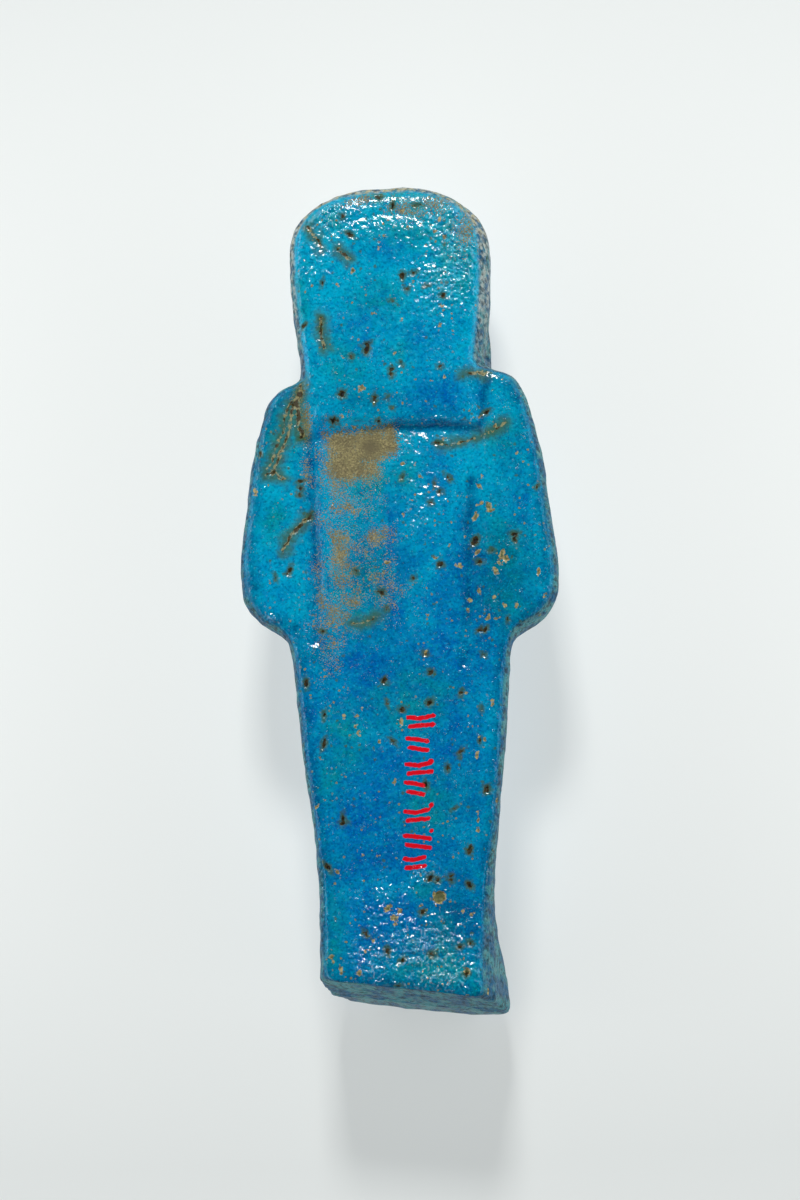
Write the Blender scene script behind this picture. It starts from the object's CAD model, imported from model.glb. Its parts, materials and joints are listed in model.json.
# %% [markdown]
# # A small ushabti of blue faience
# An ushabti is an Egyptian funerary figurine in the shape of a mummy. This one was pressed into an open
# mould and glazed, so its back is flat, and it lies on its front here with that back up. The frame gives
# the whole solid. What is left for Blender is the surface: a thick copper-blue glaze with pools and
# ripples, the pits that bubbles left in it, a patch where it never took, and the dirt in its hollows.
# The frame is loaded first, and its box is kept, because nothing that is added may grow past it.

# %% Load the frame
import json
import math

import bpy
import numpy as np
from mathutils import Matrix, Vector, kdtree, noise

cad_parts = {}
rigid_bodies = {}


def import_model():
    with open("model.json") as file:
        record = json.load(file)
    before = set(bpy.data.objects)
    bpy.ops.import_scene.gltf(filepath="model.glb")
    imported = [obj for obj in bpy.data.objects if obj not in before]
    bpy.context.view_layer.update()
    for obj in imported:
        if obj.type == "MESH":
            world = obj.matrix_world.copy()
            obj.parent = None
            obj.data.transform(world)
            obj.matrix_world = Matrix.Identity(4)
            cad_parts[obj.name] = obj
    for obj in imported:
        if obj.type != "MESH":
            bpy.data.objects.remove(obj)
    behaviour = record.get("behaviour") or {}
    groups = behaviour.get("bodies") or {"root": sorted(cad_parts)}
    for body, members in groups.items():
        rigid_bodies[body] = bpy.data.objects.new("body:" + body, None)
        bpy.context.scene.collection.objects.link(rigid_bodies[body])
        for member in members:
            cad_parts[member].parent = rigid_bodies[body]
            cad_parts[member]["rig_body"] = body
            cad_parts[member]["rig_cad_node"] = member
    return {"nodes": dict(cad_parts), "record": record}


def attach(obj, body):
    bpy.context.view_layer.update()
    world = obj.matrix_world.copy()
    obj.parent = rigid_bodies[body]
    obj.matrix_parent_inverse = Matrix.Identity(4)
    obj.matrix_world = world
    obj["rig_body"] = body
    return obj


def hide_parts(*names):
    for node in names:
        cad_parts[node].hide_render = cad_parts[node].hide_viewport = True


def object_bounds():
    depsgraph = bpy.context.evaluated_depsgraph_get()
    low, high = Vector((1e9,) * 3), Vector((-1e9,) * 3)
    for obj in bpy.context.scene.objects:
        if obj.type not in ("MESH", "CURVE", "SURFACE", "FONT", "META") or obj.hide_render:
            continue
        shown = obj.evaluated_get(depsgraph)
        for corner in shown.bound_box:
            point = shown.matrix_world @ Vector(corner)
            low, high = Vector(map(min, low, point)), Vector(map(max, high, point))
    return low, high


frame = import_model()
cad_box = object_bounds()
MM = 0.001
figure = frame["nodes"]["ushabti"]
print("the figure measures", [round(side / MM, 1) for side in cad_box[1] - cad_box[0]], "mm")

# %% [markdown]
# ## The camera
# The photograph was taken from almost straight above with a long lens, so the camera is far away and
# the figure hardly tapers. It looks a little from the foot and from the right, which is why the cut base
# and the right wall show. The picture is also turned slightly, so the crown leans to the left.

# %% Place the camera
PHOTO_WIDTH = 800
PHOTO_HEIGHT = 1200
SENSOR = 36.0
LENS = 188.6
VIEW_DISTANCE = 0.8
FROM_RIGHT = math.radians(4.5)
FROM_FOOT = math.radians(7)
LEAN = math.radians(1.65)
AIM = Vector((-0.4, 0, 14)) * MM

towards = Vector((math.tan(FROM_RIGHT), -math.tan(FROM_FOOT), 1)).normalized()
level_up = (Vector((0, 1, 0)) - towards * towards.y).normalized()
level_right = level_up.cross(towards)
up = level_up * math.cos(LEAN) + level_right * math.sin(LEAN)
right = up.cross(towards)
eye = AIM + towards * VIEW_DISTANCE

turn = Matrix((right, up, towards)).transposed()
bpy.ops.object.camera_add(location=eye, rotation=turn.to_euler())
camera = bpy.context.object
camera.data.sensor_width = SENSOR
camera.data.lens = LENS
camera.data.clip_start = 0.05
camera.data.clip_end = 50
bpy.context.scene.camera = camera
print("the camera stands", round(VIEW_DISTANCE, 2), "m from the figure")

# %% [markdown]
# The marks on the glaze are placed where the photograph shows them. A pixel of the photograph is a line
# of sight from the camera, and where that line meets the flat of the back is the place of the mark. The
# record gives that flat as one of the part's mounts, so nothing here repeats its height.

# %% From a pixel of the photograph to a place on the back
flat = next(mount for mount in frame["record"]["mounts"] if mount["name"] == "flat_back")
flat_point = Vector(flat["pos_m"])
flat_normal = Vector(flat["axis"]).normalized()


def on_back(column, row):
    """The place that a pixel shows on the flat back: across and up the figure, in millimetres."""
    pixel = SENSOR / PHOTO_HEIGHT
    sideways = right * (column - PHOTO_WIDTH / 2) * pixel
    upwards = up * (PHOTO_HEIGHT / 2 - row) * pixel
    ray = sideways + upwards - towards * LENS
    reach = (flat_point - eye).dot(flat_normal) / ray.dot(flat_normal)
    place = (eye + ray * reach) / MM
    return place.x, place.y


print("the middle of the photo is at", [round(v, 1) for v in on_back(400, 600)], "mm")

# %% [markdown]
# Colours are written as an image editor gives them. Every material is built from nodes, so a few short
# functions that make and join nodes are used by all that follows.

# %% Helpers for colours and nodes


def srgb(red, green, blue):
    """A colour as an image editor gives it, 0 to 255, in the linear values that shaders take."""
    shares = [value / 255 for value in (red, green, blue)]
    linear = [s / 12.92 if s <= 0.04045 else ((s + 0.055) / 1.055) ** 2.4 for s in shares]
    return (*linear, 1)


def put(tree, kind, values=None, **settings):
    """A new node with these settings. A value may be a number, a colour or another node's output."""
    made = tree.nodes.new(kind)
    for name, value in settings.items():
        setattr(made, name, value)
    for name, value in (values or {}).items():
        if isinstance(value, bpy.types.NodeSocket):
            tree.links.new(value, made.inputs[name])
        else:
            made.inputs[name].default_value = value
    return made


def calculate(tree, operation, first, second=0.0, clamp=False):
    return put(tree, "ShaderNodeMath", {0: first, 1: second}, operation=operation, use_clamp=clamp).outputs[0]


def deselect_all():
    if bpy.context.mode != "OBJECT":
        bpy.ops.object.mode_set(mode="OBJECT")
    bpy.ops.object.select_all(action="DESELECT")


print("middle grey is", round(srgb(128, 128, 128)[0], 3), "in linear values")

# %% [markdown]
# ## Light and floor
# The shadows in the photograph tell where its light came from. They are so weak that about half of the
# floor's brightness can't be shaded at all: the figure lay on a glowing sheet, as on a light table. The
# one clear shadow, below the foot, is the work of a small lamp beyond the crown. Nothing bright hung
# straight above, so the glaze keeps its deep colour, and only its ripples catch the lamp.

# %% Lay the glowing floor
FLOOR_WIDTH = 8.0
FLOOR_GLOW = 0.49
GLOW_FALL_ALONG = 23.0
GLOW_FALL_ASIDE = 1.0
GLOW_MIDDLE = 0.01
GLOW_FALL_MOST = 0.15


def make_sheet():
    """Pale paper with light behind it, which is strongest in the middle."""
    material = bpy.data.materials.new("glowing pale sheet")
    material.use_nodes = True
    tree = material.node_tree
    shader = tree.nodes["Principled BSDF"]
    shader.inputs["Base Color"].default_value = srgb(178, 180, 178)
    shader.inputs["Roughness"].default_value = 0.9
    shader.inputs["Specular IOR Level"].default_value = 0.1
    shader.inputs["Emission Color"].default_value = srgb(252, 255, 253)
    place = put(tree, "ShaderNodeSeparateXYZ", {0: put(tree, "ShaderNodeTexCoord").outputs["Object"]})
    from_middle = calculate(tree, "SUBTRACT", place.outputs["Y"], GLOW_MIDDLE)
    along = calculate(tree, "MULTIPLY", from_middle, from_middle)
    along = calculate(tree, "MULTIPLY", along, GLOW_FALL_ALONG)
    aside = calculate(tree, "MULTIPLY", place.outputs["X"], place.outputs["X"])
    aside = calculate(tree, "MULTIPLY", aside, GLOW_FALL_ASIDE)
    fall = calculate(tree, "MINIMUM", calculate(tree, "ADD", along, aside), GLOW_FALL_MOST)
    glow = calculate(tree, "SUBTRACT", FLOOR_GLOW, fall)
    tree.links.new(glow, shader.inputs["Emission Strength"])
    return material


deselect_all()
bpy.ops.mesh.primitive_plane_add(size=FLOOR_WIDTH, location=(0, 0, 0))
floor = bpy.context.object
floor.name = "floor"
floor.data.materials.append(make_sheet())
print("the floor is", FLOOR_WIDTH, "m wide")

# %% Hang the lamps
AROUND_SKY = 0.8
SIDE_SKY = 2.8
SKY_BRIGHT_BELOW = 0.38
SKY_DARK_FROM = 0.7


def softbox(name, azimuth, height, distance, size, power):
    """A square lamp that faces the figure. Azimuth 0 is beyond the crown, 90 to the right."""
    a, h = math.radians(azimuth), math.radians(height)
    out = Vector((math.sin(a) * math.cos(h), math.cos(a) * math.cos(h), math.sin(h)))
    rotation = out.to_track_quat("Z", "Y").to_euler()
    bpy.ops.object.light_add(type="AREA", location=out * distance, rotation=rotation)
    lamp = bpy.context.object
    lamp.name = name
    lamp.data.size = size
    lamp.data.energy = power
    return lamp


def make_studio():
    """A room that is bright near the floor, most of all to the left and right, and dark overhead."""
    world = bpy.data.worlds.new("studio")
    world.use_nodes = True
    tree = world.node_tree
    way = put(tree, "ShaderNodeSeparateXYZ", {0: put(tree, "ShaderNodeTexCoord").outputs["Generated"]})
    limits = {"Value": way.outputs["Z"], "From Min": SKY_DARK_FROM, "From Max": SKY_BRIGHT_BELOW}
    low = put(tree, "ShaderNodeMapRange", limits, interpolation_type="SMOOTHSTEP").outputs["Result"]
    aside = calculate(tree, "MULTIPLY", way.outputs["X"], way.outputs["X"])
    share = calculate(tree, "ADD", calculate(tree, "MULTIPLY", aside, SIDE_SKY), AROUND_SKY)
    brightness = calculate(tree, "MULTIPLY", low, share)
    background = tree.nodes["Background"]
    background.inputs["Color"].default_value = srgb(240, 246, 250)
    tree.links.new(brightness, background.inputs["Strength"])
    return world


softbox("lamp beyond the crown", azimuth=0, height=47, distance=0.8, size=0.14, power=4.2)
bpy.context.scene.world = make_studio()
bpy.context.scene.view_settings.view_transform = "Standard"

# %% [markdown]
# ## A fine skin for the figure
# The frame's solid is made of flat facets, as a carver blocks out a shape. Glaze melts over such a shape
# and rounds it. So a copy of the solid is merged, remeshed into small even faces and smoothed, which
# gives the soft edges of a moulded and glazed piece. The back is what the photograph shows, so its faces
# are split once more, to hold pits and craters that are less than a millimetre wide.

# %% Copy and remesh the solid
SKIN_FACE = 0.56 * MM


def finish_with(piece, kind, **settings):
    """Adds a modifier with these settings to the piece, and applies it."""
    bpy.context.view_layer.objects.active = piece
    modifier = piece.modifiers.new(kind.lower(), kind)
    for setting, value in settings.items():
        setattr(modifier, setting, value)
    bpy.ops.object.modifier_apply(modifier=modifier.name)


def copy_of(node, name):
    """A merged copy of a CAD node, as a new piece with no material."""
    deselect_all()
    node.select_set(True)
    bpy.context.view_layer.objects.active = node
    bpy.ops.object.duplicate()
    piece = bpy.context.object
    piece.name = name
    piece.parent = None
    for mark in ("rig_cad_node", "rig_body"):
        del piece[mark]
    piece.data.materials.clear()
    bpy.ops.object.mode_set(mode="EDIT")
    bpy.ops.mesh.select_all(action="SELECT")
    bpy.ops.mesh.remove_doubles(threshold=0.0001 * MM)
    bpy.ops.object.mode_set(mode="OBJECT")
    return piece


skin = copy_of(figure, "glazed_ushabti")
finish_with(skin, "REMESH", mode="VOXEL", voxel_size=SKIN_FACE, use_smooth_shade=True)
print("the remeshed skin has", len(skin.data.polygons), "faces")

# %% [markdown]
# The smoothing is even on the back, the walls and the legs, where it melts the facets away. The face,
# the hands and the hoes are small, so they get only a little of it: a vertex group says how much. Then
# the faces of the back and of the carved front are split in four.

# %% Helpers for vertices and faces
CARVED_FROM = -4.0
CARVED_TO = 47.0
CARVED_BELOW = 12.0


def table_of(elements, what):
    """One vector for every vertex or face, as a row of numbers."""
    flat_list = np.zeros(len(elements) * 3, np.float32)
    elements.foreach_get(what, flat_list)
    return flat_list.reshape(-1, 3)


def places(piece):
    """Every vertex of the piece, in millimetres."""
    return table_of(piece.data.vertices, "co") / MM


def directions(piece):
    """The normal of every vertex of the piece."""
    return table_of(piece.data.vertices, "normal")


def ramp(values, low, high):
    """0 up to low and 1 from high on, with a soft step between them. High may be the smaller one."""
    share = np.clip((values - low) / (high - low), 0, 1)
    return share * share * (3 - 2 * share)


def carved(points):
    """1 on the face, arms and hoes at the front, and 0 elsewhere."""
    inside = ramp(points[:, 1], CARVED_FROM - 2, CARVED_FROM) * ramp(points[:, 1], CARVED_TO + 1, CARVED_TO)
    return inside * ramp(points[:, 2], CARVED_BELOW + 2, CARVED_BELOW)


def set_group(piece, name, weights):
    group = piece.vertex_groups.new(name=name)
    for step in np.linspace(0.1, 1, 10):
        chosen = np.nonzero(np.abs(weights - step) <= 0.05)[0]
        group.add(chosen.tolist(), float(step), "REPLACE")


def split_faces(piece, chosen):
    """Splits each chosen face in four."""
    deselect_all()
    bpy.context.view_layer.objects.active = piece
    bpy.ops.object.mode_set(mode="EDIT")
    bpy.ops.mesh.select_mode(type="FACE")
    bpy.ops.mesh.select_all(action="DESELECT")
    bpy.ops.object.mode_set(mode="OBJECT")
    piece.data.polygons.foreach_set("select", chosen)
    bpy.ops.object.mode_set(mode="EDIT")
    bpy.ops.mesh.subdivide(number_cuts=1)
    bpy.ops.mesh.select_all(action="DESELECT")
    bpy.ops.object.mode_set(mode="OBJECT")


print("the front is carved from", CARVED_FROM, "to", CARVED_TO, "mm along the figure")

# %% Smooth the skin and split the faces that carry detail
FACES_UP = 0.4
BACK_FACES_ABOVE = 15.0
CARVED_FACES_BELOW = 9.0
CARVED_HALF_WIDTH = 13.0

set_group(skin, "plain", 1 - carved(places(skin)))
finish_with(skin, "SMOOTH", factor=0.5, iterations=3)
finish_with(skin, "SMOOTH", factor=0.5, iterations=5, vertex_group="plain")
middles = table_of(skin.data.polygons, "center") / MM
faces_up = table_of(skin.data.polygons, "normal")[:, 2] > FACES_UP
on_top = faces_up & (middles[:, 2] > BACK_FACES_ABOVE)
near_middle = np.abs(middles[:, 0]) < CARVED_HALF_WIDTH
on_carving = (carved(middles) > 0.5) & (middles[:, 2] < CARVED_FACES_BELOW) & near_middle
split_faces(skin, on_top | on_carving)
finish_with(skin, "SMOOTH", factor=0.5, iterations=1)
print("the split skin has", len(skin.data.polygons), "faces")

# %% [markdown]
# The real back is flat almost to its edge, where it turns down within a millimetre. The solid rolls off
# more slowly. So the vertices close to the outline are lifted towards the height of the back just inside.

# %% Helpers for the edge of the back
STEEP = 0.35
WALL_ABOVE = 10.0
BACK_ABOVE = 13.0
ROLL_DEPTH = 2.6
ROLL_WIDTH = 3.4


def tree_of(points, chosen):
    """The chosen points as seen from above, ready to be searched for the nearest one."""
    tree = kdtree.KDTree(len(chosen))
    for index in chosen.tolist():
        tree.insert(Vector((points[index, 0], points[index, 1], 0)), index)
    tree.balance()
    return tree


def distance_to_wall(points, normals):
    """How far each vertex lies from the nearest steep wall, seen from above, in millimetres."""
    steep = np.nonzero((np.abs(normals[:, 2]) < STEEP) & (points[:, 2] > WALL_ABOVE))[0]
    tree = tree_of(points, steep)
    return np.array([tree.find(Vector((x, y, 0)))[2] for x, y, z in points.tolist()])


def height_inside(points, inner, outer):
    """For each outer vertex, the height of the inner vertices that are nearest to it."""
    tree = tree_of(points, inner)
    nearest = [tree.find_n(Vector((x, y, 0)), 8) for x, y, z in points[outer].tolist()]
    return np.array([np.mean([points[index, 2] for place, index, reach in found]) for found in nearest])


def set_places(piece, new_places):
    piece.data.vertices.foreach_set("co", (new_places * MM).astype(np.float32).ravel())
    piece.data.update()


print("the edge rolls off within", ROLL_WIDTH, "mm of the wall")

# %% Tighten the edge of the back
points = places(skin)
normals = directions(skin)
to_wall = distance_to_wall(points, normals)
on_back_side = (normals[:, 2] > 0) & (points[:, 2] > BACK_ABOVE)
inner = np.nonzero(on_back_side & (to_wall > ROLL_WIDTH) & (to_wall < ROLL_WIDTH + 1))[0]
outer = np.nonzero(on_back_side & (to_wall <= ROLL_WIDTH))[0]
depth = np.clip(height_inside(points, inner, outer) - points[outer, 2], 0, ROLL_DEPTH)
lift = depth * (1 - ramp(depth, 0, ROLL_DEPTH))
points[outer, 2] += lift
print("the edge is lifted by up to", round(float(lift.max()), 2), "mm")

# %% [markdown]
# Seen from above, the walls of the solid are a little too upright. The right wall is leaned outwards at
# the top, from the elbow to the ankle, and the other way at the foot. On the left only the upper half
# is leaned outwards.

# %% Lean the side walls
LEAN_HEIGHT = 13.0
LEAN_RIGHT = math.tan(math.radians(5.6))
LEAN_LEFT = math.tan(math.radians(2.6))
FOOT_SHARE = 0.6

above_middle = points[:, 2] - LEAN_HEIGHT
on_right = ramp(points[:, 0], 4, 9) * ramp(points[:, 1], 30, 27) * ramp(points[:, 1], -42, -28)
on_left = ramp(points[:, 0], -4, -9)
at_foot = ramp(points[:, 0], 4, 9) * ramp(points[:, 1], -40, -50)
lean = (on_right - FOOT_SHARE * at_foot) * LEAN_RIGHT - on_left * (above_middle > 0) * LEAN_LEFT
points[:, 0] += above_middle * lean
set_places(skin, points)
print("the walls are moved by up to", round(float(np.abs(above_middle * lean).max()), 2), "mm")

# %% [markdown]
# ## Where the marks are
# Each mark is read from the photograph: its column and row there, and its real size in millimetres. Pits
# are burst bubbles with a dark hole. Craters are shallow and show the tan body of the piece. For every
# vertex of the skin, a field holds the distance to the edge of the nearest mark of a kind, so the mesh
# can be pushed in there and the glaze can be coloured there by the same numbers.

# %% The marks on the head and body
HEAD_PITS = [
    (351, 235, 0.5), (404, 276, 0.5), (415, 273, 0.35), (409, 289, 0.28), (429, 286, 0.25),
    (445, 295, 0.42), (323, 283, 0.3), (393, 301, 0.22), (368, 349, 0.6), (393, 369, 0.42),
    (393, 374, 0.35), (352, 357, 0.28), (403, 364, 0.28), (304, 326, 0.38), (442, 366, 0.3),
    (343, 394, 0.6), (376, 399, 0.45), (389, 397, 0.25), (394, 408, 0.2), (489, 411, 0.45),
    (394, 206, 0.45), (381, 197, 0.38), (378, 197, 0.3), (344, 217, 0.35), (419, 205, 0.4), (368, 344, 0.4),
    (322, 325, 0.3), (322, 331, 0.28), (323, 319, 0.25),
]
HEAD_CRATERS = [
    (338, 285, 0.3), (354, 271, 0.42), (445, 306, 0.28), (446, 310, 0.25), (437, 232, 0.28),
    (447, 237, 0.32), (442, 219, 0.3), (344, 357, 0.25), (396, 353, 0.28), (447, 376, 0.32),
    (442, 325, 0.28), (363, 388, 0.5), (342, 415, 0.4), (375, 313, 0.3), (403, 320, 0.25), (482, 415, 0.28),
    (366, 289, 0.22), (433, 381, 0.25), (326, 347, 0.28), (297, 272, 0.25), (313, 285, 0.25),
    (381, 248, 0.3),
]
BODY_PITS = [
    (333, 421, 0.5), (337, 420, 0.4), (301, 436, 0.35), (300, 480, 0.38), (300, 487, 0.42),
    (299, 494, 0.35), (309, 515, 0.45), (289, 570, 0.5), (275, 577, 0.28), (439, 441, 0.42),
    (441, 490, 0.35), (450, 476, 0.42), (403, 476, 0.32), (436, 482, 0.25), (477, 539, 0.62),
    (517, 533, 0.5), (517, 538, 0.45), (481, 560, 0.4), (442, 563, 0.5), (382, 591, 0.5), (388, 607, 0.3),
    (323, 630, 0.35), (482, 628, 0.4), (487, 628, 0.4), (356, 570, 0.35), (432, 501, 0.3), (415, 577, 0.28),
    (494, 549, 0.3), (540, 485, 0.3), (380, 421, 0.3), (510, 618, 0.25), (427, 652, 0.32), (486, 653, 0.3),
    (259, 452, 0.35),
]
BODY_CRATERS = [
    (481, 485, 0.42), (490, 504, 0.55), (493, 509, 0.5), (482, 502, 0.4), (477, 515, 0.55), (504, 553, 0.6),
    (508, 557, 0.55), (502, 561, 0.45), (498, 570, 0.5), (479, 551, 0.45), (437, 556, 0.35),
    (462, 565, 0.35), (458, 564, 0.3), (541, 570, 0.42), (548, 594, 0.32), (481, 589, 0.45),
    (496, 596, 0.28), (472, 598, 0.4), (507, 604, 0.38), (519, 604, 0.38), (470, 608, 0.3),
    (490, 616, 0.42), (500, 617, 0.32), (543, 614, 0.32), (429, 614, 0.25), (388, 561, 0.42),
    (404, 462, 0.35), (417, 463, 0.28), (421, 475, 0.3), (446, 437, 0.3), (519, 452, 0.3), (254, 489, 0.35),
    (254, 493, 0.3), (404, 513, 0.3), (412, 500, 0.25), (453, 521, 0.25), (467, 535, 0.2), (497, 424, 0.32),
    (363, 430, 0.3), (355, 427, 0.3), (484, 475, 0.22),
]
print(len(HEAD_PITS + BODY_PITS), "pits and", len(HEAD_CRATERS + BODY_CRATERS), "craters on head and body")

# %% The marks on the legs and foot
LEG_PITS = [
    (306, 682, 0.5), (385, 679, 0.5), (432, 671, 0.42), (431, 701, 0.5), (403, 708, 0.48), (388, 702, 0.3),
    (463, 691, 0.38), (324, 714, 0.38), (394, 740, 0.38), (324, 740, 0.4), (324, 744, 0.4),
    (462, 750, 0.38), (462, 754, 0.3), (449, 766, 0.4), (489, 786, 0.42), (489, 790, 0.38),
    (343, 817, 0.42), (343, 822, 0.42), (472, 847, 0.45), (470, 850, 0.35), (427, 783, 0.5),
    (484, 707, 0.28), (482, 739, 0.28), (456, 807, 0.25),
]
LEG_CRATERS = [
    (402, 721, 0.45), (468, 691, 0.32), (495, 699, 0.32), (495, 703, 0.28), (357, 715, 0.3),
    (359, 731, 0.38), (356, 725, 0.28), (380, 740, 0.32), (321, 757, 0.3), (479, 754, 0.42),
    (396, 780, 0.32), (317, 805, 0.32), (480, 818, 0.32), (480, 828, 0.28), (480, 811, 0.25),
    (378, 855, 0.28), (427, 652, 0.3), (421, 653, 0.2), (344, 715, 0.32), (325, 798, 0.28),
    (362, 707, 0.28), (363, 853, 0.25), (487, 738, 0.3), (482, 735, 0.22),
]
FOOT_PITS = [
    (327, 865, 0.6), (431, 876, 0.5), (438, 878, 0.38), (452, 874, 0.32), (452, 878, 0.3), (471, 883, 0.5),
    (423, 910, 0.42), (365, 931, 0.42), (388, 949, 0.45), (403, 958, 0.35), (433, 952, 0.38),
    (472, 941, 0.4), (461, 945, 0.32), (398, 985, 0.35), (468, 972, 0.4),
]
FOOT_CRATERS = [
    (337, 870, 0.4), (373, 938, 0.35), (473, 913, 0.32), (465, 909, 0.25), (468, 969, 0.55),
    (465, 956, 0.22), (359, 971, 0.42), (340, 966, 0.38), (341, 971, 0.38), (388, 906, 0.6),
    (394, 916, 0.55), (400, 909, 0.45), (396, 922, 0.4), (469, 994, 0.32), (366, 949, 0.28),
    (467, 918, 0.2), (331, 955, 0.35), (333, 960, 0.3), (422, 903, 0.3),
]
PITS = HEAD_PITS + BODY_PITS + LEG_PITS + FOOT_PITS
CRATERS = HEAD_CRATERS + BODY_CRATERS + LEG_CRATERS + FOOT_CRATERS
print(len(PITS), "pits and", len(CRATERS), "craters on the back")

# %% [markdown]
# Some marks have a shape of their own. The creases are folds in the paste, with dirt in them. Blisters
# are bubbles under the glaze that never burst, so they stand up as smooth rings. One large blister at
# the foot did burst, and melted glaze has pooled in deep blue around it.

# %% The creases and blisters
CREASES = {
    "left shoulder": (0.13, [(297, 398), (292, 412), (289, 427), (282, 448), (276, 463), (272, 474)]),
    "shoulder end": (0.1, [(265, 474), (273, 472), (284, 478)]),
    "beside the wig, left": (0.15, [(301, 380), (300, 392), (297, 405), (299, 420), (302, 436)]),
    "left arm": (0.12, [(305, 518), (296, 528), (288, 538), (284, 550)]),
    "beside the wig, right": (0.1, [(465, 374), (476, 372), (489, 372)]),
    "below the wig": (0.05, [(443, 444), (456, 441), (472, 439), (487, 433), (497, 429), (507, 421)]),
    "crown, left": (0.12, [(308, 227), (314, 235), (319, 242), (321, 248)]),
    "crown": (0.1, [(339, 249), (344, 254), (350, 260)]),
    "wig": (0.12, [(322, 318), (322, 334), (326, 348)]),
    "shoulder fold": (0.07, [(298, 392), (287, 408), (283, 428), (276, 446), (268, 468)]),
    "waist": (0.04, [(352, 621), (360, 622), (372, 619), (380, 614)]),
}
BLISTERS = [(411, 897, 1.4), (410, 922, 0.72), (419, 445, 1.75), (399, 440, 1.1)]
BURST_BLISTER = (440, 895, 0.85)
print(len(CREASES), "creases,", len(BLISTERS), "whole blisters and a burst one")

# %% [markdown]
# The glaze isn't even. Where it pooled it is deep blue, where it is thin it is green, and in a worn
# patch it never took. Each such place is a soft oval: its column and row, then half its width and
# height in millimetres, and an amount where that isn't 1.

# %% Thick places and grooves
# Where the glaze is deep blue.
DEEP_POOLS = [
    (345, 430, 3.0, 0.5), (472, 900, 2.0, 3.0), (484, 640, 1.6, 3.0), (440, 396, 4.6, 2.6),
    (441, 897, 2.6, 1.7), (430, 424, 3.4, 1.1), (402, 905, 1.6, 1.5), (354, 907, 3.4, 3.6),
    (470, 925, 3.2, 3.2), (375, 940, 2.6, 3.4), (363, 660, 4.0, 3.2), (478, 655, 4.5, 3.5),
    (470, 560, 2.4, 8.5), (315, 560, 1.6, 10.0), (312, 462, 1.5, 4.5), (445, 640, 4.0, 5.0),
    (312, 735, 1.9, 8.0), (345, 820, 3.4, 4.0), (462, 722, 4.0, 5.5), (300, 845, 2.0, 3.0),
    (350, 872, 3.5, 3.5), (392, 530, 1.2, 7.0), (388, 250, 3.0, 1.8), (440, 470, 2.6, 4.0),
    (525, 500, 2.2, 4.0), (365, 330, 3.6, 3.6), (430, 340, 3.4, 3.4), (395, 600, 3.0, 6.0),
    (363, 962, 2.2, 2.0), (484, 393, 0.8, 2.6), (455, 880, 2.4, 1.6), (325, 440, 2.2, 3.6),
    (480, 620, 3.0, 2.6),
]
# Where it is thick all over, so that the turquoise turns to blue: the legs most, the head not at all.
THICK_PLACES = [
    (400, 800, 13.0, 16.0, 1.1), (400, 680, 14.0, 9.0, 1.0), (400, 560, 7.5, 9.0, 0.62),
    (470, 590, 8.0, 7.0, 0.8), (400, 930, 13.0, 7.0, 0.9), (510, 590, 5.0, 6.0, 0.7),
    (440, 400, 5.0, 3.5, 0.6), (270, 600, 3.0, 6.0, 0.3),
]
# The shallow grooves along both arms and beside the wig, each with its half width.
GROOVES = [
    (0.75, [(308, 440), (312, 500), (317, 570), (318, 640)]),
    (0.8, [(474, 480), (469, 540), (470, 610), (466, 660)]),
    (0.6, [(489, 374), (485, 398), (483, 424)]),
]
# The lower edge of the wig, which stands above the body below it.
WIG_EDGE = [(296, 440), (322, 431), (360, 427), (395, 423), (440, 420), (481, 424), (492, 436)]
print(len(DEEP_POOLS), "deep pools and", len(THICK_PLACES), "thick places")

# %% Thin and worn places
# Where it is thin and green.
TEAL_PLACES = [
    (420, 225, 8.5, 3.2), (460, 260, 4.5, 5.5), (330, 215, 3.4, 2.4), (275, 440, 2.4, 5.5),
    (430, 965, 7.5, 4.2), (425, 890, 1.8, 1.6), (335, 920, 2.0, 7.0), (415, 700, 6.5, 5.0),
    (345, 735, 3.6, 4.6), (330, 775, 2.4, 3.6), (505, 555, 4.2, 6.5), (505, 600, 4.0, 3.0),
    (380, 300, 3.5, 3.0), (440, 700, 3.0, 3.4), (450, 940, 3.8, 4.0), (430, 800, 4.2, 4.4),
    (402, 350, 2.0, 2.0), (370, 480, 3.4, 4.4), (405, 470, 2.6, 2.6), (490, 265, 2.0, 9.0),
    (345, 360, 3.2, 3.2), (505, 430, 2.8, 2.6), (275, 520, 2.0, 3.0), (370, 590, 5.0, 7.0),
    (480, 990, 2.6, 1.4), (295, 420, 1.6, 5.5), (300, 300, 1.4, 4.0), (400, 195, 9.0, 1.4),
    (330, 960, 1.4, 2.8),
]
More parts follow.
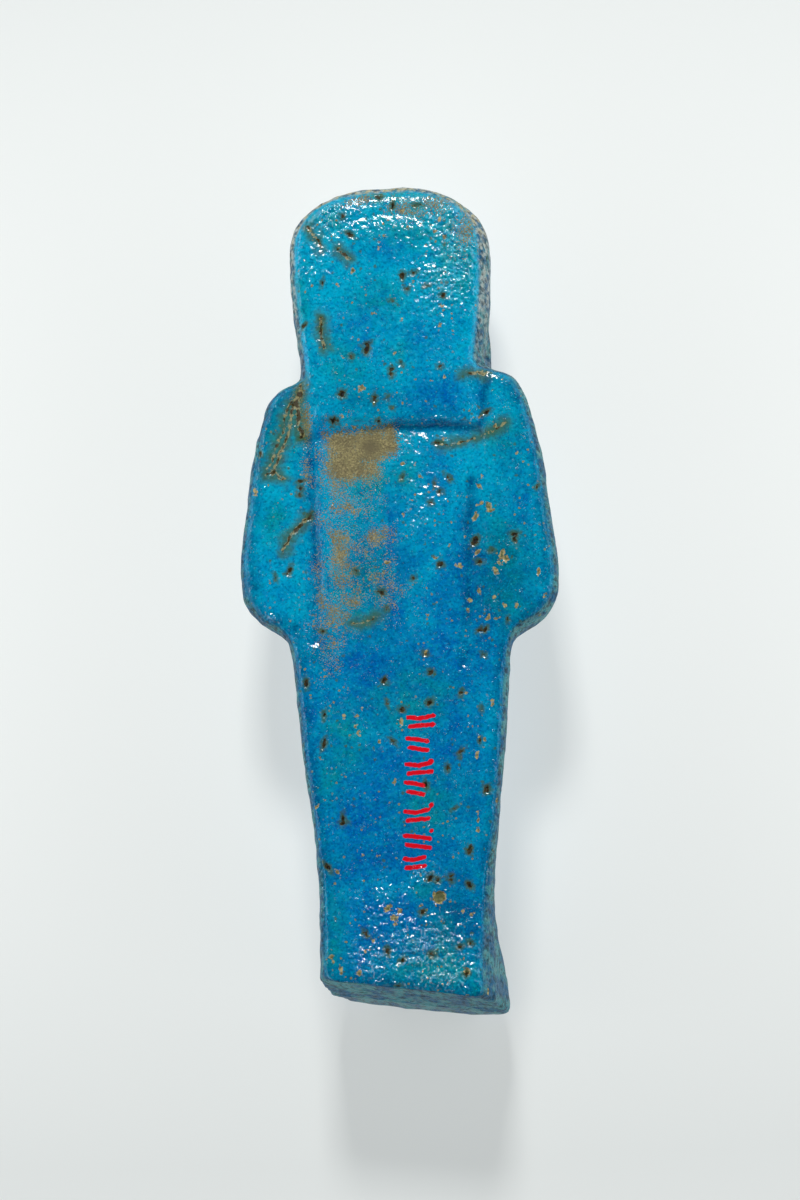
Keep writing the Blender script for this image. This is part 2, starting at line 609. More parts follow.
# The worn patch where the glaze never took, and how bare it is.
BARE_PLACES = [
    (345, 460, 3.4, 4.0, 1.05), (371, 445, 3.6, 2.6, 1.25), (345, 443, 3.0, 2.2, 1.0),
    (365, 468, 3.2, 2.6, 0.8), (390, 440, 1.5, 2.4, 1.0), (338, 480, 2.6, 3.4, 0.62),
    (340, 550, 2.0, 5.4, 0.66), (378, 536, 3.6, 2.2, 0.56), (350, 505, 5.0, 2.6, 0.46),
    (336, 612, 3.6, 3.4, 0.52), (378, 576, 3.8, 1.6, 0.44), (355, 598, 3.0, 2.4, 0.46),
    (332, 645, 2.2, 4.2, 0.42), (390, 590, 3.2, 4.2, 0.36), (330, 520, 2.6, 4.8, 0.42),
    (362, 560, 5.0, 9.0, 0.33), (325, 440, 1.2, 3.0, 0.5), (334, 665, 1.4, 1.6, 0.4),
    (306, 425, 0.9, 4.5, 0.62), (300, 395, 0.9, 2.0, 0.7), (306, 470, 0.8, 3.0, 0.5),
    (430, 205, 7.0, 2.0, 0.5), (470, 228, 3.0, 5.0, 0.44), (360, 200, 4.0, 1.4, 0.45),
    (320, 600, 1.6, 9.0, 0.42), (345, 575, 3.0, 3.0, 0.5),
]
print(len(TEAL_PLACES), "thin places and", len(BARE_PLACES), "worn ones")

# %% Shaded, pale and rippled places
# Where it is darker than the rest.
SHADED_PLACES = [
    (505, 570, 6.0, 9.0, 0.4), (462, 905, 4.0, 6.0, 0.45), (484, 560, 2.0, 10.0, 0.3),
    (400, 985, 9.0, 2.0, 0.3), (365, 400, 6.0, 3.0, 0.42), (300, 690, 1.6, 9.0, 0.5),
    (480, 640, 2.4, 4.0, 0.35), (475, 790, 2.0, 9.0, 0.2), (515, 450, 3.0, 7.0, 0.3),
    (400, 415, 9.0, 1.6, 0.25), (312, 480, 1.6, 8.0, 0.35), (320, 640, 2.4, 5.0, 0.4),
    (360, 560, 5.0, 9.0, 0.3),
]
# Where a pale film lies over it.
PALE_PLACES = [
    (420, 215, 8.0, 3.5, 0.8), (460, 250, 4.0, 7.0, 0.8), (330, 225, 3.5, 2.5, 0.5),
    (400, 330, 8.0, 5.0, 0.25),
]
# Where it ran and set in close ripples, which catch the lamp.
RIPPLED_PLACES = [
    (425, 950, 7.2, 5.5, 0.95), (375, 965, 4.5, 3.4, 0.9), (385, 905, 4.0, 4.0, 0.6),
    (440, 975, 6.0, 2.4, 0.95), (425, 872, 2.6, 1.6, 1.0), (460, 240, 4.6, 7.5, 0.85),
    (450, 285, 5.2, 4.0, 0.85), (452, 203, 3.0, 1.6, 0.5), (330, 220, 3.6, 3.0, 0.8),
    (440, 419, 5.5, 0.5, 1.2), (395, 430, 2.0, 1.0, 0.5), (268, 618, 1.5, 1.0, 0.9),
    (345, 995, 3.0, 1.0, 0.4), (315, 265, 2.4, 3.4, 0.5), (425, 960, 9.0, 8.0, 0.6),
    (420, 500, 4.5, 6.0, 0.28),
]
print(len(SHADED_PLACES), "shaded places and", len(RIPPLED_PLACES), "rippled ones")

# %% [markdown]
# ## From marks to fields
# A field is one number for every vertex. Distances run in millimetres from the edge of the nearest mark
# and are negative inside it, so a shader can cut a sharp edge even between two vertices. Soft fields run
# from 0 to 1. Off the back they fade out, because a mark on the back must not show through on the front.

# %% Distances to round marks and lines
FAR = 3.0


def oval_radius(points, column, row, half_width, half_height):
    """How far out each point lies from the middle of an oval: 1 is on its edge."""
    across, along = on_back(column, row)
    return np.hypot((points[:, 0] - across) / half_width, (points[:, 1] - along) / half_height)


def to_round_marks(points, marks, longest=1.0, share=1.0):
    """Distance to the edge of marks. Each is drawn out at random, up to the longest, and turned."""
    turns = np.random.default_rng(5)
    field = np.full(len(points), FAR)
    for column, row, radius in marks:
        across, along = on_back(column, row)
        angle = turns.uniform(0, math.pi)
        stretch = math.sqrt(turns.uniform(1, longest))
        dx = points[:, 0] - across
        dy = points[:, 1] - along
        long_way = (dx * math.cos(angle) + dy * math.sin(angle)) / stretch
        short_way = (dy * math.cos(angle) - dx * math.sin(angle)) * stretch
        field = np.minimum(field, np.hypot(long_way, short_way) - radius * share)
    return field


def off_segment(flat_points, start, end):
    """How far each point lies from a straight piece of line, seen from above."""
    way = end - start
    share = np.clip(((flat_points - start) @ way) / (way @ way), 0, 1)
    return np.linalg.norm(flat_points - start - share[:, None] * way, axis=1)


def to_line(points, corners, half_width):
    field = np.full(len(points), FAR)
    ends = np.array([on_back(*corner) for corner in corners])
    for start, end in zip(ends, ends[1:]):
        field = np.minimum(field, off_segment(points[:, :2], start, end) - half_width)
    return field


def soft_line(points, corners, half_width):
    """1 along a line, fading to both sides."""
    return np.exp(-((np.clip(to_line(points, corners, 0), 0, FAR) / half_width) ** 2))


print("a pixel is", round(on_back(401, 600)[0] - on_back(400, 600)[0], 3), "mm wide on the back")

# %% Soft ovals, strewn marks and lumps


def soft_ovals(points, ovals):
    """1 in the middle of each oval, or the amount given with it, and fading past its edge."""
    field = np.zeros(len(points))
    for column, row, half_width, half_height, *amount in ovals:
        radius = oval_radius(points, column, row, half_width, half_height)
        field = np.maximum(field, (amount[0] if amount else 1) * np.exp(-1.2 * radius**2))
    return field


def scattered(points, allowed, count, smallest, largest, rng):
    """Distance to round marks strewn at random over the allowed part of the skin."""
    field = np.full(len(points), FAR)
    for middle in points[rng.choice(np.nonzero(allowed)[0], count)]:
        radius = rng.uniform(smallest, largest)
        field = np.minimum(field, np.linalg.norm(points - middle, axis=1) - radius)
    return field


def lumps(points, size, seed):
    """Smooth noise from about -1 to 1, in lumps of this size in millimetres."""
    offset = Vector((7.3, 3.1, 5.7)) * seed
    return np.array([noise.noise(Vector(point) / size + offset) for point in points.tolist()])


print("noise at the middle of the part:", lumps(np.zeros((1, 3)), 1, 1).round(2))

# %% Work out the fields of the marks
STREWN_PITS = 90
STREWN_CRATERS = 70

points = places(skin)
normals = directions(skin)
rng = np.random.default_rng(11)
back = ramp(normals[:, 2], 0.35, 0.75) * ramp(points[:, 2], 13, 16)
elsewhere = back < 0.02
wall = ramp(np.abs(normals[:, 2]), 0.8, 0.42)
base = ramp(-normals[:, 1], 0.75, 0.92) * ramp(points[:, 1], -44, -47)
off_back = (1 - back) * FAR

pit_on_back = to_round_marks(points, PITS, longest=2.4, share=0.8) + off_back
pit = np.minimum(pit_on_back, scattered(points, elsewhere, STREWN_PITS, 0.15, 0.4, rng))
crater_on_back = to_round_marks(points, CRATERS, longest=2.2, share=0.8) + off_back
crater = np.minimum(crater_on_back, scattered(points, elsewhere, STREWN_CRATERS, 0.15, 0.45, rng))
winding = points + 0.3 * np.stack([lumps(points, 1.1, seed) for seed in (21, 22, 23)], axis=1)
crease = np.min([to_line(winding, corners, half) for half, corners in CREASES.values()], axis=0) + off_back
burst = to_round_marks(points, [BURST_BLISTER]) + off_back
blister = to_round_marks(points, BLISTERS) + off_back
print("share of the skin on the back:", round(float(back.mean()), 2))

# %% Work out the soft fields of the glaze
grooves = np.max([soft_line(points, corners, half) for half, corners in GROOVES], axis=0) * back
deep = np.maximum(0.6 * soft_ovals(points, DEEP_POOLS), 0.5 * grooves) * back
thick = np.clip(soft_ovals(points, THICK_PLACES) * back + 0.5 * (1 - back), 0, 1)
at_edge = ramp(to_wall, 2.4, 0.3) * ramp(points[:, 1], 30, 26)
shaded = np.max([0.55 * at_edge, 0.5 * grooves, soft_ovals(points, SHADED_PLACES)], axis=0) * back
teal = soft_ovals(points, TEAL_PLACES) * back
bare = soft_ovals(points, BARE_PLACES) * back
rippled = np.maximum(soft_ovals(points, RIPPLED_PLACES) * back, 0.3 * (1 - back))
print("share of the skin in deep pools:", round(float((deep > 0.3).mean()), 2))

# %% [markdown]
# ## The relief
# Each vertex is pushed along its normal by the sum of what the fields ask for. First come the wig's
# lower edge, which stands above the body below it, and the lines of the front. The photograph doesn't
# show the front, so its lids, brows, mouth and fingers are plain.

# %% The wig's lower edge
WIG_STEP = 0.5
WIG_LIP = 0.09


def hollow(field, slope, deepest):
    """How deep a mark goes: it falls from its edge with this slope, down to the deepest."""
    return deepest * np.tanh(np.clip(0.05 - field, 0, None) * slope / deepest)


def rim(field, out, wide):
    """A raised ring this far outside the edge of a mark, from 0 to 1."""
    return np.exp(-(((field - out) / wide) ** 2))


def below_wig(points):
    """How far below the wig's lower edge each point lies, in millimetres, and 1 along its middle part."""
    edge = np.array(sorted(on_back(*corner) for corner in WIG_EDGE))
    below = np.interp(points[:, 0], edge[:, 0], edge[:, 1]) - points[:, 1]
    along = ramp(points[:, 0], edge[0, 0], edge[1, 0]) * ramp(points[:, 0], edge[-1, 0], edge[-2, 0])
    return below, along * back


below, under_wig = below_wig(points)
below = below + 0.35 * lumps(points, 2.6, 31) + 0.16 * lumps(points, 0.9, 32)
drop = -WIG_STEP * ramp(below, -0.3, 0.6) * np.exp(-np.clip(below, 0, None) / 6)
lip = WIG_LIP * np.exp(-(((below + 0.35) / 0.28) ** 2)) * ramp(points[:, 0], -3, 1)
wig_edge = under_wig * (drop + lip)
print("the wig stands up to", round(float(np.abs(wig_edge).max()), 2), "mm above the body")

# %% The lines of the front
# For the right half: half width, depth, and corners across and up, all in millimetres.
FRONT_LINES = [
    (0.2, 0.2, [(1.6, 40.1), (2.3, 40.9), (3.2, 41.2), (4.2, 40.8), (5.0, 40.0)]),
    (0.16, 0.12, [(1.8, 39.9), (2.6, 39.5), (3.5, 39.4), (4.5, 39.8)]),
    (0.2, 0.14, [(1.5, 42.2), (2.8, 42.9), (4.2, 42.8), (5.6, 41.8)]),
    (0.2, 0.2, [(-1.9, 34.7), (0, 34.5), (1.9, 34.7)]),
    (0.2, 0.2, [(5.4, 12.9), (8.2, 12.0)]),
    (0.2, 0.2, [(5.2, 11.7), (8.1, 10.8)]),
    (0.2, 0.2, [(5.1, 10.5), (7.8, 9.7)]),
]


def carved_lines(points, normals):
    """How deep the lids, brows, mouth and fingers are cut into the front, on both sides alike."""
    cut_in = np.zeros(len(points))
    mirrored = np.column_stack([np.abs(points[:, 0]), points[:, 1]])
    for half_width, deepest, corners in FRONT_LINES:
        for start, end in zip(np.array(corners), np.array(corners[1:])):
            off = off_segment(mirrored, start, end)
            cut_in = np.maximum(cut_in, deepest * np.exp(-((off / half_width) ** 2)))
    return cut_in * ramp(-normals[:, 2], 0.2, 0.5)


print(len(FRONT_LINES), "lines on each half of the front")

# %% [markdown]
# The rest of the relief is the unevenness of a hand-pressed piece, the ripples, the hollows of pits and
# creases, and the rims of craters. The walls are rougher than the back, because the paste was trimmed
# there, and the base has the streaks of a cut. Just before the foot the back dips a little.

# %% Add up the relief
GROOVE_DEPTH = 0.2
DIP_DEPTH = 0.3

unevenness = 0.1 * lumps(points, 8, 1) + 0.045 * lumps(points, 3.2, 2)
ripples = rippled * (0.06 * lumps(points, 1.5, 3) + 0.03 * lumps(points, 0.85, 4))
trimmed = wall * (1 - base) * (0.12 * lumps(points, 2.4, 5) + 0.09 * lumps(points, 1.2, 6))
along_the_cut = points * np.array([0.3, 1, 1])
cut = base * (0.12 * lumps(along_the_cut, 1.3, 7) + 0.06 * lumps(along_the_cut, 0.7, 8))
pitted = 0.03 * rim(pit, 0.13, 0.12) - hollow(pit, 1.1, 0.4)
cratered = 0.035 * rim(crater, 0.08, 0.12) - hollow(crater, 0.7, 0.14)
creased = 0.03 * rim(crease, 0.3, 0.2) - hollow(crease, 0.8, 0.26)
blistered = 0.13 * ramp(blister, 0.05, -0.3) - 0.04 * ramp(blister, -0.3, -0.9)
burst_open = 0.16 * rim(burst, 0.16, 0.22) - hollow(burst, 0.8, 0.3)
worn = -0.05 * np.clip(bare, 0, 1) + 0.02 * bare * lumps(points, 0.6, 9)
relief = unevenness + ripples + trimmed + cut + pitted + cratered + creased + blistered + burst_open + worn
dip = DIP_DEPTH * back * ramp(points[:, 1], -31, -36) * ramp(points[:, 1], -50, -36)
relief += wig_edge - GROOVE_DEPTH * grooves - dip - carved_lines(points, normals)
print("relief from", round(float(relief.min()), 2), "to", round(float(relief.max()), 2), "mm")

# %% [markdown]
# The skin has to stay within the box of the frame's solid, and to lie on the same floor. Smoothing has
# drawn it in by a fraction of a millimetre, and the relief has pushed it out again here and there. So it
# is stretched by that fraction, along each axis, until its box is the solid's box.

# %% Move the vertices


def fit_to_box(new_places, low, high):
    """The places, stretched a little along each axis to fill the box between two corners."""
    share = (new_places - new_places.min(axis=0)) / np.ptp(new_places, axis=0)
    return low + share * (high - low)


pressed = points + normals * relief[:, None]
low, high = (np.array(corner) / MM for corner in cad_box)
stretched = fit_to_box(pressed, low, high)
set_places(skin, stretched)
print("stretched by", np.round(np.ptp(stretched, axis=0) - np.ptp(pressed, axis=0), 2), "mm")

# %% [markdown]
# ## A painted column
# A column of short brush strokes and dots in red paint runs down the lower legs. They are only colour, so
# nothing is raised for them: one more field says how far each vertex is from the nearest stroke.

# %% Paint the column of strokes
PAINT_LEFT = 409
PAINT_RIGHT = 435
STROKE_HALF_WIDTH = 0.27
STROKES_FROM = [716, 737, 763, 781, 810, 834, 857]
STROKE_LENGTHS = [1.0, 0.8, 1.0, 0.7, 0.9, 1.0, 0.8]
DOT_ROWS = [759, 803, 829]


def stroke_lines():
    """Pairs of slanting strokes down the column, each as two pixels, and the dots between them."""
    for index, (row, share) in enumerate(zip(STROKES_FROM, STROKE_LENGTHS)):
        slant = 3 if index % 2 else -2
        lean = -0.03 * (row - STROKES_FROM[0])
        span = (PAINT_RIGHT - PAINT_LEFT) * share
        left_end = PAINT_LEFT + lean
        right_end = left_end + span
        yield [(left_end, row), (left_end + span / 2, row + 1), (right_end, row + slant)]
        yield [(left_end + 2, row + 9), (right_end, row + 9 + slant)]
    for row in DOT_ROWS:
        yield [(PAINT_RIGHT - 3, row), (PAINT_RIGHT - 2, row)]


paint = np.min([to_line(points, line, STROKE_HALF_WIDTH) for line in stroke_lines()], axis=0) + off_back
print("red strokes:", sum(1 for line in stroke_lines()))

# %% Store the fields on the skin


def store(piece, name, values):
    attribute = piece.data.attributes.new(name, "FLOAT", "POINT")
    attribute.data.foreach_set("value", values.astype(np.float32))


fields = {
    "pit": pit, "crater": np.minimum(crater, burst), "crease": crease, "deep": deep, "teal": teal,
    "bare": bare, "rippled": rippled, "paint": paint, "thick": thick,
    "wall": np.clip(wall + base, 0, 1), "crown": ramp(points[:, 1], 24, 40), "shaded": shaded,
    "top_edge": ramp(points[:, 1], 43, 49), "film": soft_ovals(points, PALE_PLACES) * back,
    "below_wig": under_wig * rim(below, 0.55, 0.5) * ramp(points[:, 0], -6, -2),
}
for name, values in fields.items():
    store(skin, name, values)
print("fields:", ", ".join(fields))

# %% [markdown]
# ## The glaze
# A copper glaze is turquoise where it is thin, and blue where it is thick. Grains of the sandy body show
# through it. The same three effects come again and again in it, each in its own size: soft mottling,
# small specks, and marks with a ragged edge. Each is a node group, made once, and used with its own
# values. They all read the place on the object in millimetres, so a size in them is a real size.

# %% Helpers for nodes


def smooth_step(tree, value, low, high):
    limits = {"Value": value, "From Min": low, "From Max": high}
    return put(tree, "ShaderNodeMapRange", limits, interpolation_type="SMOOTHSTEP").outputs["Result"]


def lay_over(tree, mask, below, above):
    """The colour below, with the colour above laid over it where the mask is 1."""
    factor, under, over = 0, 6, 7
    mixed = put(tree, "ShaderNodeMix", {factor: mask, under: below, over: above}, data_type="RGBA")
    return mixed.outputs[2]


def new_group(name, sockets):
    """An empty node group. Each socket is a name, a type and a first value; every group gives a mask."""
    group = bpy.data.node_groups.new(name, "ShaderNodeTree")
    for socket_name, kind, first_value in sockets:
        socket = group.interface.new_socket(socket_name, in_out="INPUT", socket_type=kind)
        if first_value is not None:
            socket.default_value = first_value
    group.interface.new_socket("Mask", in_out="OUTPUT", socket_type="NodeSocketFloat")
    given = group.nodes.new("NodeGroupInput").outputs
    result = group.nodes.new("NodeGroupOutput").inputs["Mask"]
    return group, given, result


print("helpers for nodes are ready")

# %% A node group for soft patches
NUMBER = "NodeSocketFloat"
VECTOR = "NodeSocketVector"


def in_lumps(tree, place, size, seed):
    """The place measured in lumps of this size, moved on by the seed."""
    share = calculate(tree, "DIVIDE", 1.0, size)
    scaled = put(tree, "ShaderNodeVectorMath", {0: place, "Scale": share}, operation="SCALE")
    return put(tree, "ShaderNodeVectorMath", {0: scaled.outputs[0], 1: seed}, operation="ADD").outputs[0]


def make_mottle():
    """Soft cloudy patches. Low and High say how much of the noise is patch and how soft its edge is."""
    group, given, result = new_group("mottle", [
        ("Place", VECTOR, None), ("Size", NUMBER, 1.0), ("Seed", NUMBER, 0.0), ("Detail", NUMBER, 2.0),
        ("Low", NUMBER, 0.4), ("High", NUMBER, 0.6),
    ])
    lumpy = in_lumps(group, given["Place"], given["Size"], given["Seed"])
    cloud = put(group, "ShaderNodeTexNoise", {"Vector": lumpy, "Scale": 1.0, "Detail": given["Detail"]})
    step = smooth_step(group, cloud.outputs["Fac"], given["Low"], given["High"])
    group.links.new(step, result)
    return group


print("a patch is given its size in millimetres")

# %% Node groups for specks and marks


def make_specks():
    """Small round dots. Share is about how many of the cells hold one."""
    group, given, result = new_group("specks", [
        ("Place", VECTOR, None), ("Size", NUMBER, 1.0), ("Seed", NUMBER, 0.0), ("Share", NUMBER, 0.2),
        ("Radius", NUMBER, 0.3),
    ])
    lumpy = in_lumps(group, given["Place"], given["Size"], given["Seed"])
    cells = put(group, "ShaderNodeTexVoronoi", {"Vector": lumpy, "Scale": 1.0})
    chance = put(group, "ShaderNodeSeparateColor", {"Color": cells.outputs["Color"]}).outputs[0]
    chosen = calculate(group, "LESS_THAN", chance, given["Share"])
    wobble = put(group, "ShaderNodeTexNoise", {"Vector": lumpy, "Scale": 3.0, "Detail": 1.0})
    centred = calculate(group, "SUBTRACT", wobble.outputs["Fac"], 0.5)
    ragged = calculate(group, "ADD", cells.outputs["Distance"], calculate(group, "MULTIPLY", centred, 0.5))
    inside = calculate(group, "DIVIDE", ragged, given["Radius"])
    dot = smooth_step(group, inside, 1.2, 0.7)
    group.links.new(calculate(group, "MULTIPLY", dot, chosen), result)
    return group


def make_mark():
    """1 inside a mark. Grow moves its edge outwards, and Wobble makes it ragged, both in millimetres."""
    group, given, result = new_group("mark", [
        ("Place", VECTOR, None), ("Field", NUMBER, 1.0), ("Grow", NUMBER, 0.0), ("Soft", NUMBER, 0.1),
        ("Wobble", NUMBER, 0.15), ("Size", NUMBER, 0.5), ("Seed", NUMBER, 0.0),
    ])
    lumpy = in_lumps(group, given["Place"], given["Size"], given["Seed"])
    noise_node = put(group, "ShaderNodeTexNoise", {"Vector": lumpy, "Scale": 1.0, "Detail": 2.0})
    centred = calculate(group, "SUBTRACT", noise_node.outputs["Fac"], 0.5)
    shift = calculate(group, "MULTIPLY", calculate(group, "MULTIPLY", centred, 4.0), given["Wobble"])
    moved = calculate(group, "SUBTRACT", calculate(group, "ADD", given["Field"], shift), given["Grow"])
    outer = given["Soft"]
    inner = calculate(group, "MULTIPLY", given["Soft"], -1.0)
    group.links.new(smooth_step(group, moved, outer, inner), result)
    return group


print("specks are strewn, and marks follow a field")

# %% Make the groups, and place them in a material
EFFECTS = {"mottle": make_mottle(), "specks": make_specks(), "mark": make_mark()}


def effect(tree, name, place, **values):
    """One of the three groups placed in a material, with its own values, and its mask."""
    placed = put(tree, "ShaderNodeGroup", node_tree=EFFECTS[name])
    tree.links.new(place, placed.inputs["Place"])
    for socket, value in values.items():
        target = placed.inputs[socket.capitalize()]
        if isinstance(value, bpy.types.NodeSocket):
            tree.links.new(value, target)
        else:
            target.default_value = value
    return placed.outputs["Mask"]


print("node groups:", ", ".join(EFFECTS))

# %% [markdown]
# The colours go on in the order that they came about on the real piece: first the glaze in its blues,
# then what came up through it, then the dirt, and last the paint. A colour is laid over the one below it
# in soft patches, in specks, or inside a mark.

# %% The colours
TURQUOISE = srgb(0, 163, 199)
BLUE = srgb(0, 99, 169)
DEEP_BLUE = srgb(0, 74, 162)
CYAN = srgb(0, 152, 193)
TEAL = srgb(4, 134, 136)
PALE = srgb(40, 186, 212)
SHADE = srgb(0, 62, 104)
SEA_GREEN = srgb(64, 138, 118)
OLIVE = srgb(64, 88, 50)
TAN = srgb(166, 152, 104)
SAND = srgb(134, 124, 80)
SAND_DARK = srgb(88, 80, 52)
RUST = srgb(104, 94, 60)
DIRT = srgb(60, 54, 32)
HOLE = srgb(22, 22, 18)
WALL_BLUE = srgb(0, 84, 120)
WALL_GREY = srgb(54, 126, 134)
WALL_PALE = srgb(156, 166, 162)
WALL_DARK = srgb(12, 40, 50)
RED_PAINT = srgb(214, 18, 34)


def field_of(tree, name):
    return put(tree, "ShaderNodeAttribute", attribute_name=name, attribute_type="GEOMETRY").outputs["Fac"]


def weaken(tree, mask, share):
    return calculate(tree, "MULTIPLY", mask, share, clamp=True)


def broken_by(tree, field, noise_mask, at_least):
    """A soft field, broken up by a noise mask that never takes away all of it."""
    return calculate(tree, "MULTIPLY", field, calculate(tree, "ADD", noise_mask, at_least), clamp=True)


def patchy(tree, place, below, above, amount, kind="mottle", **values):
    """The colour below, with patches or specks of the colour above."""
    patches = effect(tree, kind, place, **values)
    return lay_over(tree, weaken(tree, patches, amount), below, above)


print("the glaze is turquoise where it is thin:", [round(value, 2) for value in TURQUOISE])

# %% The glaze where it is whole


def thickness(tree, place):
    """0 where the glaze is thin and 1 where it is thick, with soft mottling."""
    mottled = effect(tree, "mottle", place, size=3.2, seed=3.0, detail=4.0, low=0.3, high=0.7)
    mottled = calculate(tree, "SUBTRACT", weaken(tree, mottled, 0.5), 0.25)
    return calculate(tree, "ADD", field_of(tree, "thick"), mottled, clamp=True)


def blues(tree, place):
    """The colour of the glaze where it is whole."""
    colour = lay_over(tree, thickness(tree, place), TURQUOISE, BLUE)
    teal_edge = effect(tree, "mottle", place, size=2.2, seed=9.0, detail=4.0, low=0.3, high=0.7)
    thin = weaken(tree, broken_by(tree, field_of(tree, "teal"), teal_edge, 0.45), 0.8)
    colour = lay_over(tree, thin, colour, TEAL)
    deep_edge = effect(tree, "mottle", place, size=1.8, seed=15.0, detail=4.0, low=0.25, high=0.75)
    colour = lay_over(tree, broken_by(tree, field_of(tree, "deep"), deep_edge, 0.35), colour, DEEP_BLUE)
    cloudy = effect(tree, "mottle", place, size=0.7, seed=21.0, detail=4.0, low=0.42, high=0.8)
    colour = lay_over(tree, broken_by(tree, cloudy, field_of(tree, "film"), 0.25), colour, PALE)
    colour = patchy(tree, place, colour, DEEP_BLUE, 0.4, size=0.9, seed=27.0, detail=4.0, low=0.46, high=0.76)
    colour = lay_over(tree, weaken(tree, field_of(tree, "below_wig"), 0.8), colour, SHADE)
    colour = lay_over(tree, broken_by(tree, field_of(tree, "shaded"), deep_edge, 0.55), colour, SHADE)
    colour = patchy(tree, place, colour, TEAL, 0.4, size=0.45, seed=25.0, detail=3.0, low=0.5, high=0.74)
    colour = patchy(tree, place, colour, CYAN, 0.7, size=0.24, seed=33.0, detail=2.0, low=0.5, high=0.78)
    return patchy(tree, place, colour, SHADE, 0.62, size=0.34, seed=29.0, detail=3.0, low=0.42, high=0.78)


def grains(tree, place, colour):
    """Grains of the body and small bubbles that show all over the glaze."""
    colour = patchy(tree, place, colour, PALE, 0.45, "specks", size=0.42, seed=31.0, share=0.14, radius=0.22)
    crowd = effect(tree, "mottle", place, size=5.0, seed=41.0, low=0.42, high=0.6)
    sandy = effect(tree, "specks", place, size=0.6, seed=37.0, share=0.22, radius=0.24)
    colour = lay_over(tree, calculate(tree, "MULTIPLY", sandy, crowd), colour, SAND)
    return patchy(tree, place, colour, OLIVE, 0.65, "specks", size=0.9, seed=43.0, share=0.14, radius=0.22)


print("the glaze has blues from turquoise to deep blue")

# %% The crust of the walls
UPRIGHT = (1.0, 1.0, 0.5)


def wall_crust(tree, place, colour):
    """On the walls the glaze is thin, grey and dirty, with grains of the body in it."""
    upright = put(tree, "ShaderNodeVectorMath", {0: place, 1: UPRIGHT}, operation="MULTIPLY").outputs[0]
    crust = patchy(
        tree, upright, WALL_BLUE, WALL_GREY, 1.0, size=2.0, seed=101.0, detail=4.0, low=0.42, high=0.58)
    pale = effect(tree, "mottle", upright, size=0.7, seed=105.0, detail=4.0, low=0.4, high=0.62)
    crust = lay_over(tree, calculate(tree, "MULTIPLY", pale, field_of(tree, "crown")), crust, WALL_PALE)
    sandy = effect(tree, "mottle", upright, size=0.6, seed=107.0, detail=4.0, low=0.44, high=0.6)
    sandy = broken_by(tree, sandy, field_of(tree, "top_edge"), 0.15)
    crust = lay_over(tree, weaken(tree, sandy, 0.7), crust, TAN)
    crust = patchy(
        tree, upright, crust, WALL_DARK, 0.7, size=0.6, seed=103.0, detail=5.0, low=0.49, high=0.62)
    return lay_over(tree, field_of(tree, "wall"), colour, crust)


print("the crust is palest at the crown and sandiest along its upper edge")

# %% The worn patch


def worn_mask(tree, place):
    """Where the glaze is missing: the bare field, as a stipple of fine grains that crowd into a patch."""
    coarse = effect(tree, "mottle", place, size=1.6, seed=51.0, detail=3.0, low=0.2, high=0.8)
    fine = effect(tree, "mottle", place, size=0.17, seed=53.0, detail=2.0, low=0.2, high=0.8)
    eaten = calculate(tree, "ADD", weaken(tree, coarse, 0.4), weaken(tree, fine, 0.8))
    return smooth_step(tree, calculate(tree, "ADD", field_of(tree, "bare"), eaten), 0.98, 1.2)


def wear(tree, place, colour, worn):
    """Sand in the worn patch, and a green edge to it."""
    edge = smooth_step(tree, field_of(tree, "bare"), 0.3, 0.9)
    colour = lay_over(tree, weaken(tree, edge, 0.5), colour, SEA_GREEN)
    sand = patchy(tree, place, SAND, SAND_DARK, 0.6, size=2.4, seed=59.0, detail=2.0, low=0.35, high=0.65)
    sand = patchy(tree, place, sand, TAN, 0.6, size=0.24, seed=55.0, detail=2.0, low=0.5, high=0.64)
    sand = patchy(tree, place, sand, SAND_DARK, 0.8, size=0.2, seed=57.0, detail=2.0, low=0.45, high=0.62)
    burnt = smooth_step(tree, field_of(tree, "bare"), 0.95, 1.3)
    sand = lay_over(tree, weaken(tree, burnt, 0.85), sand, SAND_DARK)
    return lay_over(tree, worn, colour, sand)


print("the worn patch is sand with a green edge")

# %% The marks and the paint


def mark_of(tree, place, name, seed, grow=0.0, soft=0.06, wobble=0.06, size=0.5):
    field = field_of(tree, name)
    return effect(tree, "mark", place, field=field, seed=seed, grow=grow, soft=soft, wobble=wobble, size=size)


def marked(tree, place, below, above, amount, name, seed, **values):
    """The colour below, with the colour above inside the marks of one field."""
    shape = mark_of(tree, place, name, seed, **values)
    return lay_over(tree, weaken(tree, shape, amount), below, above)


def mark(tree, place, colour):
    """Craters, pits, creases and paint, each with the stain around it."""
    colour = marked(tree, place, colour, OLIVE, 0.75, "pit", 61.0, grow=0.26, soft=0.32, wobble=0.3)
    colour = marked(
        tree, place, colour, OLIVE, 0.75, "crease", 63.0, grow=0.7, soft=0.8, wobble=0.4, size=0.9)
    rusty = patchy(tree, place, TAN, RUST, 1.0, size=0.4, seed=65.0, detail=3.0, low=0.4, high=0.62)
    colour = marked(tree, place, colour, rusty, 1.0, "crater", 67.0, wobble=0.2, size=0.4)
    colour = marked(tree, place, colour, OLIVE, 0.7, "crater", 77.0, grow=-0.22, wobble=0.25, size=0.3)
    colour = marked(tree, place, colour, TAN, 0.65, "crease", 68.0, grow=0.03, wobble=0.22, size=0.45)
    colour = marked(tree, place, colour, DIRT, 1.0, "crease", 69.0, grow=-0.02, wobble=0.22, size=0.9)
    colour = marked(tree, place, colour, DIRT, 1.0, "pit", 71.0, grow=-0.04, wobble=0.22, size=0.4)
    colour = marked(tree, place, colour, HOLE, 1.0, "pit", 73.0, grow=-0.2, wobble=0.12)
    return marked(tree, place, colour, RED_PAINT, 1.0, "paint", 75.0, soft=0.04, wobble=0.07, size=0.4)


